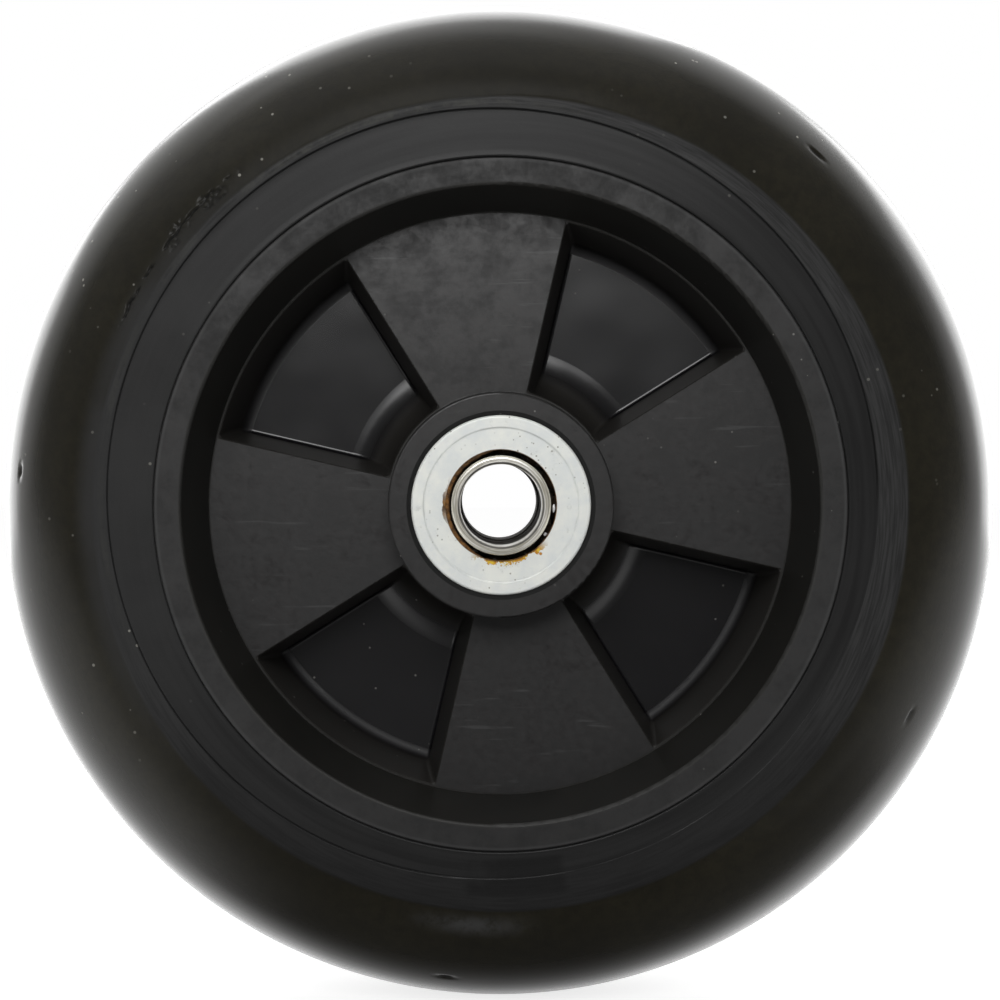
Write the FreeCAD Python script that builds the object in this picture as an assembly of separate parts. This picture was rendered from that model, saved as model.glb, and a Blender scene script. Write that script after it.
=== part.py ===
import FreeCAD, Part
import math
import os

# Lawn mower wheel: a solid rubber tyre on a one-piece moulded core that turns on two open ball bearings.
# The origin is the wheel's centre, Y is the axle and Z is up. The front face looks towards -Y.
# All lengths are in millimetres and all angles in degrees.

# Tyre
tyre_diameter = 200.0
tyre_width = 50.0
shoulder_diameter = 156.0
tyre_edge_round = 0.5
tyre_seat_gap = 0.05
trim_line_diameter = 148.0
trim_line_shift_x = -1.6
trim_line_shift_z = 2.0
trim_line_width = 0.6
trim_line_depth = 0.5

# Rim of the core, with a channel that keeps the tyre from walking off
rim_diameter = 133.6
lip_thickness = 5.3
lip_round = 0.7
rim_edge_round = 0.4
rim_wall_draft = 12.9
flange_width = 6.0
channel_depth = 4.5
channel_slope = 3.0

# Web of the core: raised spokes on each face, and between them pockets that back the other face's spokes
spoke_count = 4
spoke_angle = 9.5
web_recess = 15.0
web_plate = 3.0
side_wall = 3.0
web_foot_fillet = 0.15
pocket_draft = 7.5
pocket_ledge = 0.5
pocket_bevel = 0.2
pocket_hub_fillet = 9.0
pocket_rim_fillet = 2.0
pocket_corner_fillet = 0.8

# Hub of the core
hub_diameter = 43.8
hub_recess = 3.0
hub_draft = 2.0
hub_edge_round = 0.4
hub_bore_diameter = 28.0
seat_chamfer = 0.8

# Bearings
axle_bore_diameter = 15.875
bearing_diameter = 34.925
bearing_width = 11.1
bearing_inset = 0.3
press_gap = 0.02
case_sheet = 1.0
case_bend_round = 0.5
case_crimp = 2.4
crimp_round = 0.5
cover_clearance = 1.15
cover_step_diameter = 30.4
cover_step_slope = 0.3
cover_step_depth = 0.15
ball_diameter = 6.35
ball_clearance = 0.08
ball_spacing = 0.1
first_ball_angle = -3.5
outer_race_wall = 0.6
outer_race_groove = 1.9
neck_step = 0.32
thrust_step = 1.3
race_overhang = 1.5
race_end_round = 0.6
race_bore_chamfer = 0.4

# Spacer tube between the two inner races
spacer_length = 20.0
spacer_axle_clearance = 0.3
spacer_wall = 2.0

# How far the cutting shapes stand out of the faces that they cut
overcut = 1.0
mouth_overcut = 0.2

# Sizes worked out from those above
half_width = tyre_width / 2
tyre_radius = tyre_diameter / 2
shoulder_radius = shoulder_diameter / 2
rim_radius = rim_diameter / 2
lip_radius = rim_radius - lip_thickness
channel_radius = rim_radius - channel_depth
channel_edge = half_width - flange_width
channel_foot = channel_edge - channel_slope
web_half = half_width - web_recess
pocket_floor = web_half - web_plate
wall_foot_radius = lip_radius - web_recess * math.tan(math.radians(rim_wall_draft))
hub_half = half_width - hub_recess
hub_radius = hub_diameter / 2
hub_root_radius = hub_radius + (hub_half - web_half) * math.tan(math.radians(hub_draft))
spoke_pitch = 360.0 / spoke_count
sector_half_angle = spoke_pitch / 4
pocket_hub_side = hub_root_radius + pocket_ledge
pocket_rim_side = wall_foot_radius - pocket_ledge
bearing_radius = bearing_diameter / 2
bearing_face = hub_half - bearing_inset
bearing_back = bearing_face - bearing_width
seat_radius = bearing_radius + press_gap
case_inner_radius = bearing_radius - case_sheet
ball_radius = ball_diameter / 2
ball_plane = bearing_face - bearing_width / 2
groove_radius = ball_radius + ball_clearance
race_radius = case_inner_radius - press_gap
outer_groove_radius = race_radius - outer_race_wall
pitch_radius = outer_groove_radius - groove_radius
inner_groove_radius = pitch_radius - groove_radius
neck_radius = inner_groove_radius + neck_step
thrust_radius = inner_groove_radius + thrust_step
cover_radius = neck_radius + cover_clearance
race_end = hub_half + race_overhang
axle_bore_radius = axle_bore_diameter / 2
spacer_bore_radius = axle_bore_radius + spacer_axle_clearance
ball_count = int(math.pi / math.asin((ball_radius + ball_spacing / 2) / pitch_radius))

ORIGIN = FreeCAD.Vector(0, 0, 0)
AXLE = FreeCAD.Vector(0, 1, 0)
# Angles run from +X towards +Z, which is anticlockwise for someone who faces the wheel
ANTICLOCKWISE = FreeCAD.Vector(0, -1, 0)
SAME_POINT = 1e-6


def section_point(radius, along):
    return FreeCAD.Vector(radius, along, 0)


def outline(corners, closed=True):
    """Edges of a half section through corners given as (radius, along, rounding), rounded by tangent arcs."""
    points = [section_point(radius, along) for radius, along, rounding in corners]
    edges = []
    spans = []
    for index, here in enumerate(points):
        rounding = corners[index][2]
        if rounding == 0:
            spans.append((here, here))
            continue
        back = (points[index - 1] - here).normalize()
        ahead = (points[(index + 1) % len(points)] - here).normalize()
        half_angle = back.getAngle(ahead) / 2
        start = here + back * (rounding / math.tan(half_angle))
        finish = here + ahead * (rounding / math.tan(half_angle))
        bulge = (back + ahead).normalize() * (rounding / math.sin(half_angle) - rounding)
        edges.append(Part.Arc(start, here + bulge, finish).toShape())
        spans.append((start, finish))
    for index in range(len(points) if closed else len(points) - 1):
        leaving = spans[index][1]
        arriving = spans[(index + 1) % len(points)][0]
        if leaving.distanceToPoint(arriving) > SAME_POINT:
            edges.append(Part.LineSegment(leaving, arriving).toShape())
    return edges


def mirrored(corners):
    """The same corners on the other side of the wheel's middle plane, in reverse order."""
    return [(radius, -along, rounding) for radius, along, rounding in reversed(corners)]


def turned(edges):
    """Solid of revolution about the axle."""
    wire = Part.Wire(Part.__sortEdges__(edges))
    return Part.Face(wire).revolve(ORIGIN, AXLE, 360)


def spun(shape, angle):
    """Copy of a shape, turned anticlockwise about the axle."""
    copy = shape.copy()
    copy.rotate(ORIGIN, ANTICLOCKWISE, angle)
    return copy


def flipped(shape):
    """Copy of a front piece for the rear, turned over about the edge between a spoke and its pocket."""
    edge_angle = math.radians(spoke_angle + sector_half_angle)
    copy = shape.copy()
    copy.rotate(ORIGIN, FreeCAD.Vector(math.cos(edge_angle), 0, math.sin(edge_angle)), 180)
    return copy


def make_trim_line():
    """Ring cutter for the shallow, off-centre line where flash was trimmed from the front sidewall."""
    flare = trim_line_width / 2 * (1 + overcut / trim_line_depth)
    line_radius = trim_line_diameter / 2
    ring = turned(outline([
        (line_radius - flare, -half_width - overcut, 0),
        (line_radius + flare, -half_width - overcut, 0),
        (line_radius, -half_width + trim_line_depth, 0),
    ]))
    ring.translate(FreeCAD.Vector(trim_line_shift_x, 0, trim_line_shift_z))
    return ring


def make_tyre():
    """Solid rubber ring with a round tread, flat sidewalls and a rib that fills the rim's channel."""
    seat_front = [
        (shoulder_radius, -half_width, 0),
        (rim_radius + tyre_seat_gap, -half_width, tyre_edge_round),
        (rim_radius + tyre_seat_gap, -channel_edge + tyre_seat_gap, 0),
        (channel_radius + tyre_seat_gap, -channel_foot + tyre_seat_gap, 0),
    ]
    crown = Part.Arc(
        section_point(shoulder_radius, half_width),
        section_point(tyre_radius, 0),
        section_point(shoulder_radius, -half_width),
    ).toShape()
    tyre = turned(outline(seat_front + mirrored(seat_front), closed=False) + [crown])
    return tyre.cut(make_trim_line())


def pocket_corners(level, inset):
    """Corners of a triangle across the axle, whose two long sides lie inset from the edges of a sector."""
    half_angle = math.radians(sector_half_angle)
    apex = FreeCAD.Vector(inset / math.sin(half_angle), level, 0)
    along_edge = FreeCAD.Vector(math.cos(half_angle), 0, math.sin(half_angle)) * tyre_radius
    across = FreeCAD.Vector(along_edge.x, 0, -along_edge.z)
    return [apex, apex + along_edge, apex + across]


def flat_face(*corners):
    return Part.Face(Part.makePolygon([*corners, corners[0]]))


def wedge(outer, inner):
    """Flat-sided solid between two triangles at different levels."""
    faces = [flat_face(*outer), flat_face(*inner)]
    for index in range(len(outer)):
        after = (index + 1) % len(outer)
        faces.append(flat_face(outer[index], outer[after], inner[after], inner[index]))
    return Part.makeSolid(Part.makeShell(faces))


def round_side_walls(cutter):
    """Round a pocket cutter where its two flat side walls meet its other walls and its floor."""
    mouth = cutter.BoundBox.YMin
    edges = []
    for face in cutter.Faces:
        is_side_wall = isinstance(face.Surface, Part.Plane) and face.BoundBox.YLength > SAME_POINT
        if is_side_wall:
            edges += [edge for edge in face.Edges if edge.BoundBox.YMax > mouth + SAME_POINT]
    return cutter.makeFillet(pocket_corner_fillet, edges)


def make_pocket_cutter():
    """Cutter for one front pocket, on the +X side: a rounded trough round the hub between two side walls."""
    slope = math.tan(math.radians(pocket_draft))
    mouth = -web_half - overcut
    depth = web_half + pocket_floor
    trough = turned(outline([
        (pocket_hub_side, mouth, 0),
        (pocket_hub_side, -web_half, 0),
        (pocket_hub_side + depth * math.tan(math.radians(hub_draft)), pocket_floor, pocket_hub_fillet),
        (pocket_rim_side - depth * slope, pocket_floor, pocket_rim_fillet),
        (pocket_rim_side, -web_half, 0),
        (pocket_rim_side, mouth, 0),
    ]))
    below = pocket_floor + overcut
    sector = wedge(
        pocket_corners(mouth, side_wall / 2 + mouth * slope),
        pocket_corners(below, side_wall / 2 + below * slope),
    )
    return round_side_walls(spun(trough, 180).common(sector).Solids[0])


def make_mouth_cutter():
    """Cutter for the small bevel round that pocket's mouth. Its inner end lies in the pocket's own space."""
    outside = -web_half - mouth_overcut
    inside = -web_half + pocket_bevel + overcut
    rise = inside - outside
    wall_inset = side_wall / 2 + (pocket_bevel - web_half) * math.tan(math.radians(pocket_draft)) + overcut
    hub_side = pocket_hub_side + overcut
    rim_side = pocket_rim_side - overcut
    ring = turned(outline([
        (hub_side - rise, outside, 0),
        (hub_side, inside, 0),
        (rim_side, inside, 0),
        (rim_side + rise, outside, 0),
    ]))
    sector = wedge(pocket_corners(outside, wall_inset - rise), pocket_corners(inside, wall_inset))
    blank = spun(ring, 180).common(sector).Solids[0]
    corners = [edge for edge in blank.Edges if edge.BoundBox.YLength > SAME_POINT]
    return blank.makeFillet(pocket_corner_fillet, corners)


def make_core():
    """Core moulding: hub with bearing seats, castellated web and rim, all in one piece."""
    front = [
        (hub_bore_diameter / 2, -bearing_back, 0),
        (seat_radius, -bearing_back, 0),
        (seat_radius, -hub_half + seat_chamfer, 0),
        (seat_radius + seat_chamfer, -hub_half, 0),
        (hub_radius, -hub_half, hub_edge_round),
        (hub_root_radius, -web_half, web_foot_fillet),
        (wall_foot_radius, -web_half, web_foot_fillet),
        (lip_radius, -half_width, lip_round),
        (rim_radius, -half_width, rim_edge_round),
        (rim_radius, -channel_edge, 0),
        (channel_radius, -channel_foot, 0),
    ]
    core = turned(outline(front + mirrored(front)))
    cutters = []
    for cutter in (make_pocket_cutter(), make_mouth_cutter()):
        for number in range(spoke_count):
            front_cutter = spun(cutter, spoke_angle + spoke_pitch * (number + 0.5))
            cutters += [front_cutter, flipped(front_cutter)]
    return core.cut(cutters)


def make_bearing_case():
    """Pressed steel case of the front bearing: a stepped cover plate outside and a crimped edge inside."""
    crimp_radius = bearing_radius - case_crimp
    step_radius = cover_step_diameter / 2
    return turned(outline([
        (cover_radius, -bearing_face + cover_step_depth, 0),
        (step_radius - cover_step_slope, -bearing_face + cover_step_depth, 0),
        (step_radius, -bearing_face, 0),
        (bearing_radius, -bearing_face, case_bend_round),
        (bearing_radius, -bearing_back, crimp_round),
        (crimp_radius, -bearing_back, 0),
        (crimp_radius, -bearing_back - case_sheet, 0),
        (case_inner_radius, -bearing_back - case_sheet, 0),
        (case_inner_radius, -bearing_face + case_sheet, 0),
        (cover_radius, -bearing_face + case_sheet, 0),
    ]))


def make_ball_track():
    """Ring-shaped room for the front balls, their clearance included."""
    return Part.makeTorus(pitch_radius, groove_radius, section_point(0, -ball_plane), AXLE)


def make_outer_race(outer_end, inner_end):
    """One of the two rings that make the front outer race, between two places along the axle."""
    land_radius = outer_groove_radius - outer_race_groove
    ring = turned(outline([
        (land_radius, outer_end, 0),
        (race_radius, outer_end, 0),
        (race_radius, inner_end, 0),
        (land_radius, inner_end, 0),
    ]))
    return ring.cut(make_ball_track())


def make_inner_race():
    """Front inner race: a slim neck that stands out of the cover, the ball groove and a taller shoulder."""
    sleeve = turned(outline([
        (axle_bore_radius, -race_end + race_bore_chamfer, 0),
        (axle_bore_radius + race_bore_chamfer, -race_end, 0),
        (neck_radius, -race_end, race_end_round),
        (neck_radius, -ball_plane, 0),
        (thrust_radius, -ball_plane, 0),
        (thrust_radius, -spacer_length / 2, race_end_round),
        (axle_bore_radius, -spacer_length / 2, 0),
    ]))
    return sleeve.cut(make_ball_track())


def make_spacer():
    """Plain tube that keeps the two inner races apart."""
    outer_radius = spacer_bore_radius + spacer_wall
    return turned(outline([
        (spacer_bore_radius, -spacer_length / 2, 0),
        (outer_radius, -spacer_length / 2, 0),
        (outer_radius, spacer_length / 2, 0),
        (spacer_bore_radius, spacer_length / 2, 0),
    ]))


def make_balls():
    """The front bearing's balls, in order round the axle."""
    first = Part.makeSphere(ball_radius, section_point(pitch_radius, -ball_plane))
    return [spun(first, first_ball_angle + 360.0 * number / ball_count) for number in range(ball_count)]


def make_pieces():
    """Every piece of the wheel by name. The rear bearing is the front one turned over."""
    race_outboard = -bearing_face + case_sheet
    race_inboard = -bearing_back - case_sheet
    pieces = {
        "tyre": make_tyre(),
        "wheel_core": make_core(),
        "spacer_tube": make_spacer(),
    }
    bearing = {
        "bearing_case": make_bearing_case(),
        "inner_race": make_inner_race(),
        "outer_race_outboard": make_outer_race(race_outboard, -ball_plane),
        "outer_race_inboard": make_outer_race(-ball_plane, race_inboard),
    }
    for number, ball in enumerate(make_balls(), start=1):
        bearing[f"ball_{number:02d}"] = ball
    for name, shape in bearing.items():
        pieces["front_" + name] = shape
        pieces["rear_" + name] = flipped(shape)
    return pieces


os.makedirs("parts", exist_ok=True)
for name, shape in make_pieces().items():
    shape.exportStep(os.path.join("parts", name + ".step"))
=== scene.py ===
import collections
import math

import bpy
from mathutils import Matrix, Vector, noise


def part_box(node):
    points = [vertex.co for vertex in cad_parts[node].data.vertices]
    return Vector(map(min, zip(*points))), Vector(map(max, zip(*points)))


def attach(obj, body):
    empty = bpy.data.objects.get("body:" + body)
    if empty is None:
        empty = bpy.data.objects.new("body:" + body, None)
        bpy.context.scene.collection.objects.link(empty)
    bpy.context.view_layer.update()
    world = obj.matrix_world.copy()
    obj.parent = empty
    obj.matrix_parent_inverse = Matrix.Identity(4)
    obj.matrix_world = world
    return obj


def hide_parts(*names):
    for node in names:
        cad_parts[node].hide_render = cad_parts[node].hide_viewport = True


# Dresses the lawn mower wheel. The frame is in metres: Y is the axle, Z is up and the front looks to -Y.
# Angles run from +X towards +Z, which is anticlockwise for someone who faces the wheel.

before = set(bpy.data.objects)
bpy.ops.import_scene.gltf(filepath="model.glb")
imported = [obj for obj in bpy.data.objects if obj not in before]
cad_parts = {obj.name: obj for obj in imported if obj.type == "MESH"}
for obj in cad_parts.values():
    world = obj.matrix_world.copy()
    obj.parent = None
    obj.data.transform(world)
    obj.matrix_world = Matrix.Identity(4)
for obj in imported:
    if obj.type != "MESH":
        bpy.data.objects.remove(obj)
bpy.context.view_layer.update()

MM = 0.001

# Section of the tyre, as in the solids
TYRE_LOW, TYRE_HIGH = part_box("tyre")
TYRE_RADIUS = TYRE_HIGH[2]
HALF_WIDTH = TYRE_HIGH[1]
RIM_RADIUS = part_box("wheel_core")[1][2]
SHOULDER_RADIUS = 78.0 * MM
SEAT_RADIUS = RIM_RADIUS + 0.05 * MM
SEAT_EDGE_ROUND = 0.5 * MM
CHANNEL_RADIUS = SEAT_RADIUS - 4.5 * MM
CHANNEL_EDGE = HALF_WIDTH - 6.05 * MM
CHANNEL_FOOT = CHANNEL_EDGE - 3.0 * MM
CROWN_RISE = TYRE_RADIUS - SHOULDER_RADIUS
CROWN_RADIUS = (HALF_WIDTH ** 2 + CROWN_RISE ** 2) / (2 * CROWN_RISE)
CROWN_CENTRE = TYRE_RADIUS - CROWN_RADIUS
SHOULDER_TURN = math.asin(HALF_WIDTH / CROWN_RADIUS)
CREST_TURN = math.radians(6.0)
WALL_FOOT = SEAT_RADIUS + SEAT_EDGE_ROUND

# Line where flash was trimmed from the front sidewall. It is off centre, and faint low on the right.
TRIM_RADIUS = 74.0 * MM
TRIM_CENTRE = Vector((-1.6 * MM, 2.0 * MM))
TRIM_HALF_WIDTH = 0.17 * MM
TRIM_DEPTH = 0.45 * MM
TRIM_REACH = 0.45 * MM
TRIM_FAINT_ANGLE = math.radians(-48.0)
TRIM_FAINT_REACH = math.radians(56.0)
TRIM_FADE = math.radians(10.0)
TRIM_FAINT_SHARE = 0.12
WALL_DROP = 0.08 * MM

# Rippled band outside that line, and the uneven crease where the tread begins
RIPPLE_DEPTH = 0.06 * MM
CREASE_WANDER = 0.35 * MM
CREASE_WIDTH = 0.9 * MM
CREASE_DROP = 0.10 * MM
CREASE_FADE = 7.0 * MM

# Torn flash on the upper left of the tread: a ragged line, and small blisters at its upper end
TEAR_START = math.radians(131.0)
TEAR_END = math.radians(154.0)
TEAR_FADE = math.radians(2.5)
TEAR_HIGH_RADIUS = 81.8 * MM
TEAR_LOW_RADIUS = 80.8 * MM
TEAR_HALF_WIDTH = 0.4 * MM
TEAR_DEPTH = 0.45 * MM
TEAR_WANDER = 0.5 * MM
BLISTER_START = math.radians(129.5)
BLISTER_END = math.radians(141.0)
BLISTER_LOW_RADIUS = 79.3 * MM
BLISTER_HIGH_RADIUS = 83.2 * MM
BLISTER_SIZE = 1.5 * MM
BLISTER_DEPTH = 0.25 * MM

# Without a seed, the vector noise that bends the blisters takes its offsets from the clock
NOISE_SEED = 1

# Colours of the rubber: a paler stretch on the left of the front sidewall, a pale frayed edge outside the
# trim line with painted light on its upper left, painted shade on the low stretch of the band, a dark smear
# on the sidewall and a scuff on the tread
PALE_LEFT_ANGLE = math.radians(170.0)
PALE_LEFT_FADE = (83.0 * MM, 79.0 * MM)
FRAY_LIT_ANGLE = math.radians(142.0)
FRAY_START = 0.5 * MM
FRAY_END = 2.0 * MM
BAND_SHADE_FADE = (-20.0 * MM, -60.0 * MM)
SMEAR_ANGLES = (math.radians(-96.0), math.radians(-79.5))
SMEAR_RADII = (67.5 * MM, 76.0 * MM)
SCUFF_ANGLE = math.radians(-94.0)
SCUFF_REACH = 0.19
SCUFF_RADIUS = 81.4 * MM
SCUFF_HALF_WIDTH = 3.0 * MM

# Radii over which the tread turns from dull to glossy, and over which its grain fades out
GLOSS_FADE = (83.0 * MM, 92.0 * MM)
GRAIN_FADE = (88.0 * MM, 94.0 * MM)

# Short cuts in the tread, as (angle, radius, half length in radians)
CUTS = [
    (math.radians(48.0), 92.0 * MM, 0.026),
    (math.radians(-27.3), 89.8 * MM, 0.020),
    (math.radians(176.0), 94.4 * MM, 0.016),
    (math.radians(263.4), 93.7 * MM, 0.022),
]
CUT_HALF_WIDTH = 0.45 * MM
CUT_DEPTH = 0.5 * MM

# Where the rows of the tread's mesh lie close together, and its steps round the axle
TEAR_ROWS_END = 83.6 * MM
CUT_ROWS_START = 88.6 * MM
CUT_ROWS_END = 95.2 * MM
CLOSE_STEP = math.radians(0.2)
WIDE_STEP = math.radians(0.62)

# Places on the core and the bearings that the materials follow
SPOKE_ANGLE = math.radians(9.5)
SPOKE_COUNT = 4
SPOKE_FACE = 10.0 * MM
SPOKE_END = 58.0 * MM
POCKET_FLOOR = 7.0 * MM
POCKET_END = 55.3 * MM
LIP_RADIUS = 61.5 * MM
HUB_RADIUS = 21.9 * MM
HUB_FACE = 22.0 * MM
SEAT_MOUTH = 18.3 * MM
CASE_RADIUS = 17.46 * MM
COVER_STEP = 15.2 * MM
COVER_RADIUS = 10.8 * MM
COVER_FACE = 21.55 * MM
NECK_RADIUS = 9.65 * MM
BORE_RADIUS = 7.94 * MM
RACE_END = 23.5 * MM

# Rust that has grown inwards from the cover's edge, widest on the left
CRUST_WIDTH = 0.80 * MM
CRUST_DEPTH = 0.55 * MM
CRUST_ROOT = 0.15 * MM
CRUST_MIDDLE = math.radians(172.0)
CRUST_REACH = math.radians(88.0)
CRUST_THIN = 0.12
CRUST_STEP = math.radians(1.2)

# Stretch of the cover's lower edge that rust creeps out of
RUST_ANGLES = (math.radians(-124.0), math.radians(-36.0))
RUST_SPOT_FADE = (2.6 * MM, 2.2 * MM)

# Depths over which the bore grows darker, the height over which the crust darkens,
# and the way from the right to the left over which black grease in the bearings turns to rust
BORE_DARK_FADE = (-18.0 * MM, -12.0 * MM)
CRUST_DARK_FADE = (2.0 * MM, 10.0 * MM)
INNER_RUST_FADE = (4.0 * MM, -6.0 * MM)

# Painted glints: pale spots on two balls, as (ball, half length along the gap)
GLINT_SPOTS = [("front_ball_01", 0.85 * MM), ("front_ball_12", 0.40 * MM)]
GLINT_RADIUS = 10.25 * MM
GLINT_PLACE = -20.95 * MM
GLINT_HALF_WIDTH = 0.30 * MM
GLINT_HALF_DEPTH = 0.45 * MM

# Camera at the photograph's angle, almost straight in front of the wheel
CAMERA_LENS = 75.0
CAMERA_SENSOR = 36.0
CAMERA_PLACE = (-4.0 * MM, -425.0 * MM, 9.5 * MM)
CAMERA_AIM = (0.0, 0.0, 0.55 * MM)

# Studio. In reflections the floor is white at the sides, under and behind the wheel and in a patch at the
# front right, and dim far in front. Elsewhere in them, and for the light that it throws back, it is plain.
WORLD_LIGHT = 0.45
ROOM_LEVEL = 0.12
ROOM_RISE = 0.15
ROOM_LEAN = 0.06
BACKDROP_START = -0.15
BACKDROP_END = 0.25
FLOOR_SIZE = 8.0
FLOOR_GLOW = 0.78
FLOOR_SHADE = 0.45
FLOOR_BOUNCE = 0.30
FLOOR_DIM = 0.1
FLOOR_UNDER_START = -0.9 * HALF_WIDTH
FLOOR_STRIP_X = 40.0 * MM
FLOOR_STRIP_START = 80.0 * MM
FLOOR_STRIP_END = 150.0 * MM
FLOOR_CARD_X = (50.0 * MM, 230.0 * MM)
FLOOR_CARD_Y = (-260.0 * MM, -70.0 * MM)
FLOOR_CARD_FADE = 30.0 * MM
FLOOR_DIM_START = 250.0 * MM
FLOOR_DIM_END = 450.0 * MM
LAMPS = {
    "key": ((-0.06, -0.80, 0.36), 0.4, 3.4),
    "rear_left": ((-0.85, 0.85, 0.10), 0.8, 4.0),
    "rear_right": ((0.85, 0.80, 0.30), 0.8, 4.0),
    "rear_top": ((-0.10, 0.80, 0.80), 0.8, 4.0),
    "overhead": ((-0.4, -0.4, 1.5), 2.0, 5.0),
}


class Nodes:
    """A node tree, with short calls that add nodes and join them up."""

    def __init__(self, tree):
        self.tree = tree

    def feed(self, socket, value):
        if isinstance(value, bpy.types.NodeSocket):
            self.tree.links.new(value, socket)
        else:
            socket.default_value = value

    def node(self, kind, inputs=None, **settings):
        new = self.tree.nodes.new(kind)
        for key, value in settings.items():
            setattr(new, key, value)
        for key, value in (inputs or {}).items():
            self.feed(new.inputs[key], value)
        return new

    def math(self, operation, first, second=0.0):
        return self.node("ShaderNodeMath", {0: first, 1: second}, operation=operation).outputs[0]

    def times(self, first, *others):
        for other in others:
            first = self.math("MULTIPLY", first, other)
        return first

    def most(self, first, *others):
        for other in others:
            first = self.math("MAXIMUM", first, other)
        return first

    def split(self, vector):
        return self.node("ShaderNodeSeparateXYZ", {0: vector}).outputs

    def ramp(self, value, start, end, low=0.0, high=1.0):
        """Smooth step from low to high as a value goes from start to end."""
        inputs = {"Value": value, "From Min": start, "From Max": end, "To Min": low, "To Max": high}
        return self.node("ShaderNodeMapRange", inputs, interpolation_type="SMOOTHSTEP").outputs[0]

    def band(self, value, middle, reach):
        """One at the middle of a band and nought at its two edges."""
        gap = self.math("ABSOLUTE", self.math("SUBTRACT", value, middle))
        return self.ramp(gap, 0.0, reach, 1.0, 0.0)

    def window(self, value, low, high, fade):
        """One between two values, with soft edges inside them."""
        return self.times(self.ramp(value, low, low + fade), self.ramp(value, high, high - fade))

    def seen(self, *rays):
        """One for the named kinds of ray."""
        path = self.node("ShaderNodeLightPath")
        return self.most(*[path.outputs[ray] for ray in rays])


class Shader(Nodes):
    """A material whose patterns are laid out in the wheel's own frame."""

    def __init__(self, name):
        self.material = bpy.data.materials.new(name)
        self.material.use_nodes = True
        super().__init__(self.material.node_tree)
        self.surface = self.tree.nodes["Principled BSDF"]
        self.place = self.node("ShaderNodeTexCoord").outputs["Object"]
        self.x, self.y, self.z = self.split(self.place)

    def set(self, **values):
        """Feeds the surface's own sockets. Underscores stand for spaces."""
        for key, value in values.items():
            self.feed(self.surface.inputs[key.replace("_", " ")], value)

    def radius(self):
        """Distance from the axle."""
        return self.math("SQRT", self.math("ADD", self.times(self.x, self.x), self.times(self.z, self.z)))

    def angle(self):
        """Angle round the axle, from -pi to pi."""
        return self.math("ARCTAN2", self.z, self.x)

    def trim_distance(self):
        """How far a place lies outside the off-centre circle of the trim line."""
        across = self.math("SUBTRACT", self.x, TRIM_CENTRE.x)
        up = self.math("SUBTRACT", self.z, TRIM_CENTRE.y)
        reach = self.math("SQRT", self.math("ADD", self.times(across, across), self.times(up, up)))
        return self.math("SUBTRACT", reach, TRIM_RADIUS)

    def noise(self, scale, detail=3.0, roughness=0.55, vector=None):
        inputs = {"Vector": vector or self.place, "Scale": scale, "Detail": detail, "Roughness": roughness}
        return self.node("ShaderNodeTexNoise", inputs).outputs["Fac"]

    def rings(self, radius, spacing, turns=2.0):
        """Noise drawn out round the axle, with streaks a spacing wide and a few times round the wheel."""
        angle = self.angle()
        across = {
            0: self.times(self.math("COSINE", angle), turns),
            1: self.math("DIVIDE", radius, spacing),
            2: self.times(self.math("SINE", angle), turns),
        }
        return self.noise(1.0, 2.0, 0.6, self.node("ShaderNodeCombineXYZ", across).outputs[0])

    def stretched(self, along, across):
        """Place across the wheel's face, with features drawn out sideways."""
        place = {0: self.times(self.x, along), 1: self.times(self.y, along), 2: self.times(self.z, across)}
        return self.node("ShaderNodeCombineXYZ", place).outputs[0]

    def specks(self, scale, size):
        """Small round dots where the surface passes near the points of a loose grid."""
        cells = self.node("ShaderNodeTexVoronoi", {"Vector": self.place, "Scale": scale})
        return self.ramp(cells.outputs["Distance"], size * 0.6, size, 1.0, 0.0)

    def blend(self, factor, first, second):
        mix = self.node("ShaderNodeMix", data_type="RGBA")
        for key, value in {"Factor": factor, "A": first, "B": second}.items():
            sockets = [s for s in mix.inputs if s.name == key and (s.type == "RGBA" or key == "Factor")]
            self.feed(sockets[0], value)
        return [s for s in mix.outputs if s.type == "RGBA"][0]

    def bump(self, height, distance, strength=1.0):
        inputs = {"Height": height, "Distance": distance, "Strength": strength}
        self.feed(self.surface.inputs["Normal"], self.node("ShaderNodeBump", inputs).outputs[0])


def colour(red, green, blue):
    return (red, green, blue, 1.0)


def grey(level):
    return colour(level, level, level)


def rubber_wall(s, radius, streaks):
    """Grey front sidewall, and the trimmed band outside it, with painted shade that makes it darker below."""
    fibres = s.ramp(s.rings(radius, 0.45 * MM, 9.0), 0.3, 0.7)
    outside = s.ramp(s.trim_distance(), TRIM_HALF_WIDTH, 2 * TRIM_HALF_WIDTH)
    band = s.times(outside, s.ramp(s.y, 0.0, -HALF_WIDTH / 2))
    trimmed = s.blend(fibres, grey(0.0170), grey(0.0340))
    # Painted shade: the band turns darker towards the bottom.
    trimmed = s.blend(s.ramp(s.z, *BAND_SHADE_FADE, 0.0, 0.75), trimmed, grey(0.0080))
    return s.blend(band, s.blend(streaks, grey(0.0090), grey(0.0150)), trimmed)


def rubber_tread(s, cloud, mottle):
    """Olive-black tread."""
    plain = s.blend(cloud, colour(0.0094, 0.0081, 0.0040), colour(0.0156, 0.0136, 0.0070))
    return s.blend(s.times(mottle, 0.55), plain, colour(0.0052, 0.0046, 0.0022))


def rubber_lit_fray(s, angle):
    """Pale ragged edge of the trimmed band, with painted light that shows it only on the upper left."""
    ragged = s.ramp(s.noise(340.0, 4.0, 0.7), 0.40, 0.60)
    fray = s.times(s.window(s.trim_distance(), FRAY_START, FRAY_END, 0.4 * MM), ragged)
    # Painted light: the pale edge fades out away from the upper left, where light falls.
    upward = s.math("COSINE", s.math("SUBTRACT", angle, FRAY_LIT_ANGLE))
    return s.times(fray, s.ramp(upward, 0.35, 0.75), s.ramp(s.y, 0.0, -HALF_WIDTH / 2))


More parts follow.
